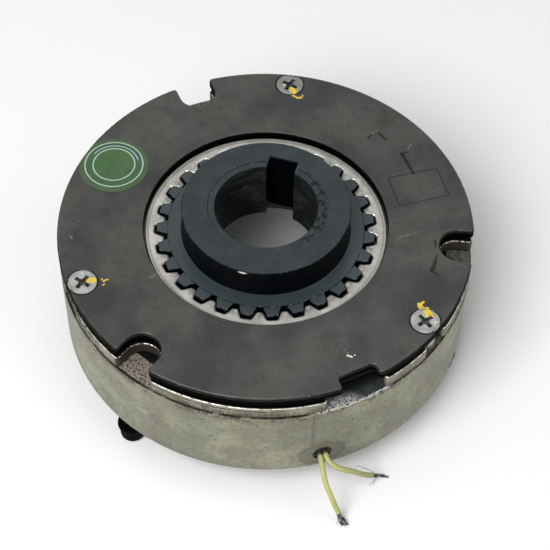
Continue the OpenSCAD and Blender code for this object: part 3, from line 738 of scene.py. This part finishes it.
lining = Finish("friction_lining")
fibre = lining.noise(1.2, 4, lining.stretched(1, 2.4, 1))
lining.colour = lining.mix(fibre.ramp(0.4, 0.65), (0.06, 0.045, 0.03), (0.13, 0.1, 0.065))
lining.cover(lining.specks(1.1, 0.28), (0.35, 0.22, 0.08))
lining = lining.done(fibre * 0.2 + 0.65, fibre, 0.05)
dressed("upper_facing", lining)
dressed("lower_facing", lining)


# The side plate is blanked from sheet steel and phosphated dark grey. The punch has rolled its upper edges.
# It carries scratches, dents, spots of yellow paint and a small stamped frame.
plate_low, plate_high = (v.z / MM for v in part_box("side_plate"))
square_notch = [(303.4, 5.25, 53.1, 1.2, 1.0)]
outline = notched_rim(round_notches + square_notch)
rim = [(shifted(outline, d), z) for d, z in edge_roll(plate_low, plate_high, 0.3, 0.75, 8)]
plate_hole = 33.6
hole_edges = edge_roll(plate_low, plate_high, 0.15, 0.25, 4)
holes = [[(arc(0, 0, plate_hole + d, whole_turn(200)), z) for d, z in hole_edges]]
screw_centres = [polar(pitch_radius, a) for a in collar_angles]
sink = [
    (2.2, plate_low, 56.3), (2.2, plate_high - 1.8, 56.3), (4.15, plate_high - 0.16, 56.35), (4.3, plate_high, 56.1)]
for x, y in screw_centres:
    loops = [(arc(x, y, r, whole_turn(64)), z, farthest) for r, z, farthest in sink]
    holes.append([(loop * np.minimum(1, farthest / np.hypot(*loop.T))[:, None], z) for loop, z, farthest in loops])

stamped = [(31.7, 21.2), (44.9, 26.7), (49, 17.3), (35.7, 11.5)]
pressed_marks = [(stamped[i - 1], stamped[i], 0.24) for i in range(4)]
dents = [
    ((34.7, 30.7), (35.4, 29.4), 0.75), ((35.2, 29.8), (38.5, 23.9), 0.6), ((34.9, 31), (36.6, 31.6), 0.3),
    ((27.6, 37.5), (29.8, 35.3), 0.5), ((25.6, 36.6), (24.6, 34.8), 0.35), ((46.6, -1), (46.3, 0.8), 0.45),
    ((47.2, -4.2), (46.9, -6.3), 0.35), ((46.9, -6.3), (46.6, -8.3), 0.65), ((46.6, -8.3), (46.2, -9.6), 0.85),
    ((46.2, -9.9), (47.8, -10.7), 0.35)]
bright_marks = [
    ((37.1, 34.9), (36.2, 32.1), 0.13), ((25.4, 37), (27, 38.2), 0.2), ((34.9, -0.4), (43.3, 4), 0.12),
    ((23.9, -36.7), (26.8, -39.5), 0.14), ((-28.1, -22.6), (-24.7, -18.8), 0.1),
    ((-52.2, -11.5), (-51.4, -12.4), 0.2)]
nicks = [((26.6, -40.1), (27.8, -40.4), 0.34), ((28.4, -39.8), (28.5, -39.7), 0.22)]
plate_paint = [
    ((1, 48.9), (2.2, 48.2), 0.42), ((2.2, 48.2), (3.2, 47.8), 0.46), ((3.2, 47.8), (4, 48.2), 0.4),
    ((4, 48.2), (4.2, 48.9), 0.3), ((46, -22.3), (44.6, -22.4), 0.5), ((44.3, -22.4), (43.8, -21.3), 0.85),
    ((43.9, -21.4), (44.7, -20.4), 0.45), ((-40.2, -25.4), (-40, -25.2), 0.36),
    ((-39.5, -24.9), (-39.3, -24.7), 0.4), ((-40.1, -26.5), (-39.7, -26.3), 0.3),
    ((-40.8, -24.9), (-40.7, -24.8), 0.2)]
phosphate = Finish("dark_phosphated_steel")
cloud, fine = phosphate.noise(18, 5), phosphate.noise(2.5, 4)
grain = phosphate.noise(0.35)
phosphate.colour = phosphate.mix(cloud.ramp(0.38, 0.62), (0.026, 0.029, 0.03), (0.06, 0.058, 0.05))
phosphate.cover(phosphate.noise(6, 4).ramp(0.5, 0.68) * 0.5, (0.022, 0.023, 0.023))
phosphate.cover(fine.ramp(0.42, 0.75) * 0.4, (0.02, 0.02, 0.019))
phosphate.cover(grain.ramp(0.5, 0.7) * 0.25, (0.085, 0.085, 0.08))
phosphate.cover(phosphate.specks(3.1, 0.13) * phosphate.noise(6).ramp(0.5, 0.6), 0.012)
phosphate.cover(phosphate.away(28.9, 42, 0, (1, 0.8, 0)).ramp(4.5, 0) * 0.5, 0.014)
lines = phosphate.scratches(1.5, 0.006, 0.4) * phosphate.noise(12).ramp(0.54, 0.66)
crossing = phosphate.noise(15, 2, phosphate.stretched(1, 1.2, 0)).ramp(0.55, 0.66)
lines = lines.most(phosphate.scratches(1.1, 0.005, -0.9) * crossing)
phosphate.cover(lines * 0.35, (0.18, 0.18, 0.17))
on_top = phosphate.z.ramp(plate_high - 0.35, plate_high - 0.02)
streaks = phosphate.noise(1.2, 3, phosphate.stretched(0.4, 0.4, 3))
cut_wall = phosphate.mix(streaks.ramp(0.4, 0.7), (0.012, 0.0115, 0.0105), (0.038, 0.035, 0.03))
phosphate.cover(1 - on_top, cut_wall)
in_hole = phosphate.around().ramp(36, 35) * (1 - on_top)
shaded = phosphate.z.ramp(46.8, 46.2).most(in_hole * 0.85)
phosphate.cover(shaded, 0.0015)
edge = phosphate.z.between(*(plate_high - below for below in (0.55, 0.3, 0.12, 0.02)))
chipped = edge * phosphate.noise(0.9).ramp(0.62, 0.68) * phosphate.noise(7).ramp(0.45, 0.6)
phosphate.cover(chipped * 0.7, (0.3, 0.3, 0.28))
# A ring round each screw head is painted near black: painted shade of the countersink gap.
shade_round_heads = phosphate.from_nearest(screw_centres).ramp(4.5, 4.25)
phosphate.cover(shade_round_heads * 0.9, 0.003)
pressed = (phosphate.drawn(pressed_marks) * 0.85).most(phosphate.drawn(dents, 0.5) * 0.95)
phosphate.cover(pressed, 0.005)
scratched = phosphate.drawn(bright_marks, 0.15) * phosphate.noise(1.2, 4).ramp(0.38, 0.6)
phosphate.cover(scratched * 0.5, (0.4, 0.4, 0.37))
phosphate.cover(phosphate.drawn(nicks, 0.2), (0.72, 0.71, 0.64))
paint = phosphate.drawn(plate_paint, 0.9) * on_top
phosphate.yellow_paint(paint)
wiped = phosphate.noise(13, 4, phosphate.stretched(1, 0.7, 0)).ramp(0.34, 0.68) * 0.35
wiped = wiped + phosphate.beside(20, -42).ramp(55, 15) * 0.18 + 0.22
height = fine * 0.3 + grain * 0.25 + phosphate.noise(0.9) * 0.2 + paint - pressed
phosphate = phosphate.done(
    0.85 - on_top * 0.5 + cloud * 0.14 + fine * 0.14, height, 0.08, shaded,
    Specular_IOR_Level=0.06, Coat_Weight=on_top * (1 - pressed * 0.35) * (wiped + 0.27), Coat_Roughness=0.36)
welded(plate(rim, holes), "side_cover", phosphate, "field", "dark_plate_steel", "side_plate")


# Three countersunk cross-head screws hold the side plate, each through a turned steel collar.
# They are zinc-plated, sit flush with the plate, and are locked with a daub of yellow paint.
screw = Finish("clear_zinc_screw")
fine = screw.noise(0.8, 4)
screw.colour = screw.mix(screw.noise(2.5).ramp(0.35, 0.65), (0.29, 0.3, 0.285), (0.43, 0.44, 0.415))
screw.cover(screw.specks(1.1, 0.2) * screw.noise(2).ramp(0.5, 0.6) * 0.8, (0.06, 0.055, 0.05))
# The rim of each head is painted darker: painted shade of the gap round the head.
screw.cover(screw.from_nearest(screw_centres).ramp(3.6, 3.95) * 0.35, (0.09, 0.09, 0.085))
screw.cover(screw.beside(*screw_centres[0]).ramp(8, 6) * 0.5, (0.11, 0.115, 0.095))
# Below the top of the head, the cross recess and the rim are painted near black: painted shade.
sunk_shade = screw.z.ramp(plate_high - 0.03, plate_high - 0.2)
screw.cover(sunk_shade * 0.95, (0.014, 0.014, 0.012))
head_paint = [
    ((-44.2, -25.6), (-42.9, -25.4), 1.1), ((0.7, 51.2), (1.6, 50), 1.15), ((46.8, -24.4), (46, -23.5), 1.25)]
glints = [
    ((-46.4, -23.7), (-46.3, -23.6), 0.26), ((-1.7, 52.4), (-1.5, 52.5), 0.36),
    ((48.3, -26.5), (48.5, -26.4), 0.28), ((44.6, -24.8), (44.9, -24.7), 0.2),
    ((-45.7, -27.3), (-45.5, -27.1), 0.25)]
paint = screw.drawn(head_paint, 0.8) * (1 - sunk_shade)
screw.cover(screw.drawn(glints, 0.25) * (1 - sunk_shade), (0.75, 0.75, 0.7))
screw.yellow_paint(paint)
screw = screw.done(fine * 0.3 + 0.3, fine * 0.4 + paint, 0.05, metal=(1 - sunk_shade) * (1 - paint) * 0.6)

arm_width, arm_reach, fillet, driver_turns = 0.56, 2.35, 0.6, np.radians((67, 63, 44))


def driver_cross(x, y):
    """Depth of a cross-shaped recess: four arms as deep as their leaning walls, over a floor that falls to the
    middle. Where two arms meet, a quarter circle rounds the corner between them."""
    x, y = abs(x), abs(y)
    corner = arm_width + fillet
    rounded = np.hypot(np.maximum(corner - x, 0), np.maximum(corner - y, 0)) - fillet
    inside = np.where(np.maximum(x, y) < corner, rounded, arm_width - np.minimum(x, y))
    inside = np.minimum(inside, arm_reach - np.maximum(x, y))
    return np.clip(inside * 5, 0, 1.75 - 0.5 * np.maximum(x, y))


head_radii = np.concatenate([np.linspace(0.02, 2.5, 56), [3.0, 3.4, 3.8, 3.88, 3.92, 2.02, 1.95, 1.95, 1.7, 0.02]])
below_top = np.concatenate([np.zeros(59), [0.03, 0.1, 1.9, 1.95, 17.5, 17.8, 17.8]])
a = whole_turn(160)
x, y = head_radii[:, None] * np.cos(a), head_radii[:, None] * np.sin(a)
screws = []
for (centre_x, centre_y), turn in zip(screw_centres, driver_turns):
    c, s = math.cos(turn), math.sin(turn)
    depth = np.where(head_radii[:, None] < 2.6, driver_cross(x * c + y * s, y * c - x * s), 0)
    rings = np.stack([x + centre_x, y + centre_y, plate_high - below_top[:, None] - depth], -1)
    screws.append(capped(rings[::-1]))
piece("countersunk_screws", joined(screws), screw, "field", "plate_screws", sharp=35)

turned_steel = Finish("turned_collar_steel")
lathe = turned_steel.noise(1.2, 3, turned_steel.stretched(0.3, 0.3, 6))
turned_steel.colour = turned_steel.mix(lathe, (0.24, 0.23, 0.2), (0.62, 0.6, 0.55))
turned_steel = turned_steel.done(lathe * 0.3 + 0.2, lathe, 0.03, metal=0.7)
dressed("spacer_collars", turned_steel)


# The label is a round of green printed film with three pale rings, stuck on the side plate.
# Its ink is mottled, and dark specks of dirt have settled on the film.
label = Finish("green_label_film")
label_x, label_y = polar(47.6, 161.4)
reach = label.beside(label_x, label_y)
mottle = label.noise(4)
label.colour = label.mix(mottle.ramp(0.35, 0.65), (0.03, 0.088, 0.024), (0.044, 0.108, 0.036))
margin = label.mix(mottle.ramp(0.3, 0.7), (0.034, 0.074, 0.028), (0.05, 0.088, 0.04))
label.cover(reach.ramp(8.0, 8.5), margin)
upper = label.beside(label_x + 0.4, label_y + 9).ramp(9.3, 8.4)
label.cover(reach.between(5.9, 6.3, 7.8, 8.2) * (upper * 0.6 + 0.35), (0.02, 0.07, 0.05))
printed = reach.off(8.12).ramp(0.25, 0.1).most(reach.off(5.85).ramp(0.25, 0.1))
printed = printed.most(reach.off(6.87).ramp(0.22, 0.08) * upper)
label.cover(printed * 0.9, (0.46, 0.6, 0.47))
label.cover(label.specks(1.4, 0.12) * 0.5, (0.03, 0.05, 0.03))
wrinkle = label.noise(3)
label = label.done(wrinkle * 0.2 + 0.35, wrinkle, 0.03)
dressed("inspection_label", label)


# The hub is turned steel with a plain collar, 27 hobbed teeth and a broached keyway, blackened blue-grey.
# Its nose is scraped round the bore, and the collar's lower edge has a bright nick.
hub_low, hub_high = (v.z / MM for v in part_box("hub"))
tooth_high, shoulder = 46.1, 46.3


def hub_teeth(a):
    """Tips and roots on two circles, and straight flanks that narrow each tooth from its root to its tip."""
    a = np.abs((a + pitch / 2) % pitch - pitch / 2)
    taper = (root_half - tip_half) / (tooth_tip - tooth_root)
    flank = (root_half + taper * tooth_root) / (np.sin(a) + taper * np.cos(a))
    return np.clip(flank, tooth_root, tooth_tip)


key_off = np.abs((plan_angle - tooth_turn + math.pi) % (2 * math.pi) - math.pi)
side_reach = key_half / np.maximum(np.sin(key_off), 1e-3)
floor_reach = key_floor / np.maximum(np.cos(key_off), 1e-3)
in_key = key_off < math.asin(key_half / bore_radius) + 1e-6
keyed = np.maximum(np.where(in_key, np.minimum(side_reach, floor_reach), bore_radius), bore_radius)
bend = np.linspace(0, math.pi / 2, 7)
rolled = [(0, tooth_high - 0.2), (0.05, tooth_high - 0.08), (0.16, tooth_high)]
levels = [(keyed + 0.4, hub_low), (grown(hub_teeth, -0.5), hub_low), (grown(hub_teeth, 0), hub_low + 0.5)]
levels += [(np.maximum(grown(hub_teeth, -d), tooth_root), z) for d, z in rolled]
levels += [
    (tooth_root, tooth_high + 0.004), (tooth_root, shoulder - 0.1), (tooth_root - 0.08, shoulder - 0.03),
    (tooth_root - 0.2, shoulder)]
levels += [(23.5 - 0.5 * np.sin(b), shoulder + 0.5 - 0.5 * np.cos(b)) for b in bend]
levels += [
    (23.0, hub_high - 0.5), (22.94, hub_high - 0.22), (22.75, hub_high - 0.05), (22.5, hub_high),
    (np.maximum(15.95, keyed + 0.2), hub_high), (np.maximum(15.8, keyed + 0.16), hub_high - 0.15),
    (keyed + 0.12, hub_high - 0.152), (keyed + 0.04, hub_high - 0.2), (keyed, hub_high - 0.3),
    (keyed, hub_low + 0.4)]

blued = Finish("blue_black_hub")
cloud, fine = blued.noise(6, 4), blued.noise(0.8, 4)
lathe = blued.turning(0.7)
blued.colour = blued.mix(cloud.ramp(0.35, 0.65), (0.004, 0.01, 0.013), (0.012, 0.022, 0.026))
blued.cover(fine.ramp(0.5, 0.75) * 0.4, (0.003, 0.005, 0.006))
blued.cover(lathe.ramp(0.58, 0.72) * 0.35, (0.028, 0.038, 0.042))
from_axis = blued.around()
on_top = blued.upward.ramp(0.88, 0.99)
on_nose = on_top * blued.z.ramp(54, 55)
rings = from_axis.off(16.6).ramp(0.16, 0.04).most(from_axis.off(22.1).ramp(0.12, 0.03) * 0.5)
blued.cover(rings * on_nose * 0.6, (0.001, 0.002, 0.002))
# The shoulder and the tooth tops are painted lighter: painted sheen.
shoulder_painted_light = on_top * blued.z.ramp(47, 46.6)
blued.cover(shoulder_painted_light * 0.6, (0.046, 0.061, 0.067))
rough_side = from_axis.ramp(18.6, 16.2) * on_nose * blued.beside(15.5, 1).ramp(17, 8)
blotches = rough_side * from_axis.ramp(17.6, 16.2) * blued.noise(1.3, 4).ramp(0.49, 0.56)
blued.cover(blotches * 0.9, (0.001, 0.001, 0.002))
specks = blued.noise(0.55, 2).ramp(0.66, 0.72) * from_axis.ramp(18, 16) * on_nose
blued.cover(specks * blued.noise(3).ramp(0.45, 0.6) * 0.8, (0.3, 0.31, 0.31))
bore_wall = from_axis.ramp(14.6, 14.2) * (1 - on_top)
worn_bands = blued.noise(3, 5, blued.stretched(0.6, 0.6, 1.3))
# All faces but the tops are painted near black: painted shade on the walls.
blued.cover(1 - on_top, (0.0003, 0.001, 0.0018))
blued.cover(bore_wall * (worn_bands.ramp(0.35, 0.75) * 0.6 + 0.35), (0.022, 0.025, 0.026))
blued.cover(bore_wall * worn_bands.off(0.57).ramp(0.006, 0.001) * 0.5, (0.13, 0.13, 0.12))
nose_edge = blued.upward.between(0.15, 0.5, 0.8, 0.98) * blued.z.ramp(54, 54.6)
blued.cover(nose_edge * blued.noise(2).ramp(0.5, 0.7) * 0.4, (0.12, 0.13, 0.13))
tooth_edge = blued.upward.between(0.2, 0.5, 0.9, 0.98) * blued.z.ramp(45.6, 45.8)
tooth_edge = tooth_edge * blued.z.ramp(46.4, 46.2) * blued.noise(1.5).ramp(0.5, 0.62)
blued.cover(tooth_edge * 0.7, (0.16, 0.18, 0.18))
scrapes = blued.scratches(1.0, 0.005, 0.7) * blued.noise(7).ramp(0.52, 0.62)
scrapes = scrapes.most(blued.scratches(1.4, 0.004, -0.5) * blued.noise(8).ramp(0.55, 0.65))
blued.cover(scrapes * on_top * 0.3, (0.15, 0.16, 0.16))
nick = blued.away(-3.4, -22.9, 54.7, (0.5, 1, 2)) + blued.noise(0.8) * 0.6
blued.cover(nick.ramp(1.1, 0.7), (0.85, 0.8, 0.68))
height = fine * 0.4 + blued.noise(0.3) * 0.3 + lathe * 0.3
blued = blued.done(
    fine * 0.16 + cloud * 0.12 + 0.28, height, 0.03,
    Specular_IOR_Level=0.06, Coat_Weight=on_top * (0.8 - blotches * 0.5), Coat_Roughness=0.3)
polar_piece(levels, "toothed_hub", blued, "hub_body", "black_hub_steel", "hub", sharp=28)


# Three black pan-head screws wait in the tapped holes of the back, each with a split and a flat washer.
# They are blackened steel, turned in part way, and the brake stands on their heads.
oxide = Finish("black_oxide_screw")
fine = oxide.noise(1.2, 4)
oxide.colour = oxide.mix(fine.ramp(0.4, 0.7), (0.0008, 0.0012, 0.002), (0.003, 0.0035, 0.0045))
oxide = oxide.done(fine * 0.2 + 0.4, fine, 0.02, Specular_IOR_Level=0.03)
for name in ("rear_screws", "spring_washers", "flat_washers"):
    dressed(name, oxide)


# The brake stands on a plain pale table in a white studio. The main lamp is square and soft, high at the
# front left, and two weaker ones stand at the left and the right.

def seen_directly(nodes):
    """1 for what the camera, a reflection or glass looks at, 0 for the light that bounces off it."""
    rays = [nodes.node("LightPath", out=f"Is {ray} Ray") for ray in ("Camera", "Glossy", "Transmission")]
    return rays[0].most(rays[1]).most(rays[2])


pale = Finish("pale_table")
seen = seen_directly(pale)
distant = pale.around().ramp(110, 450) * seen
lifted = pale.around().ramp(40, 85) * seen
pale.colour = pale.mix(seen, 0.45, pale.mix(pale.noise(30), 0.91, 0.93))
pale.cover(distant, 0)
glow = pale.mix(lifted, 0, pale.mix(distant, 0.11, 1))
pale.done(0.9, Specular_IOR_Level=0.1, Emission_Color=glow, Emission_Strength=1.0)
corner = np.array([[-1, -1, 0], [1, -1, 0], [1, 1, 0], [-1, 1, 0]]) * 4.0
mesh = bpy.data.meshes.new("table")
mesh.from_pydata(corner, [], [[0, 1, 2, 3]])
mesh.materials.append(pale.material)
table = placed("table", mesh)

world = bpy.data.worlds.new("studio")
bpy.context.scene.world = world
studio = Nodes(world)
strength = studio.node("MapRange", {}, {0: seen_directly(studio), "To Min": 0.2})
studio.feed(studio.tree.nodes["Background"], {"Strength": strength, "Color": (1, 1, 1, 1)})


def lamp(name, azimuth, elevation, distance, size, power):
    """A square soft lamp at an angle round the brake, facing it; azimuth 0 is the front and 90 the right."""
    a, e = math.radians(azimuth), math.radians(elevation)
    out = Vector((math.sin(a) * math.cos(e), -math.cos(a) * math.cos(e), math.sin(e)))
    light = bpy.data.lights.new(name, "AREA")
    light.size, light.energy = size, power
    made = placed(name, light)
    made.location = out * distance + Vector((0, 0, 0.03))
    made.rotation_euler = (-out).to_track_quat("-Z", "Y").to_euler()


lamp("key", -24, 50, 0.9, 0.5, 7.6)
lamp("left", -100, 45, 1.0, 0.7, 0.8)
lamp("right", 75, 48, 1.0, 0.7, 1.6)
bpy.context.scene.view_settings.view_transform = "Standard"
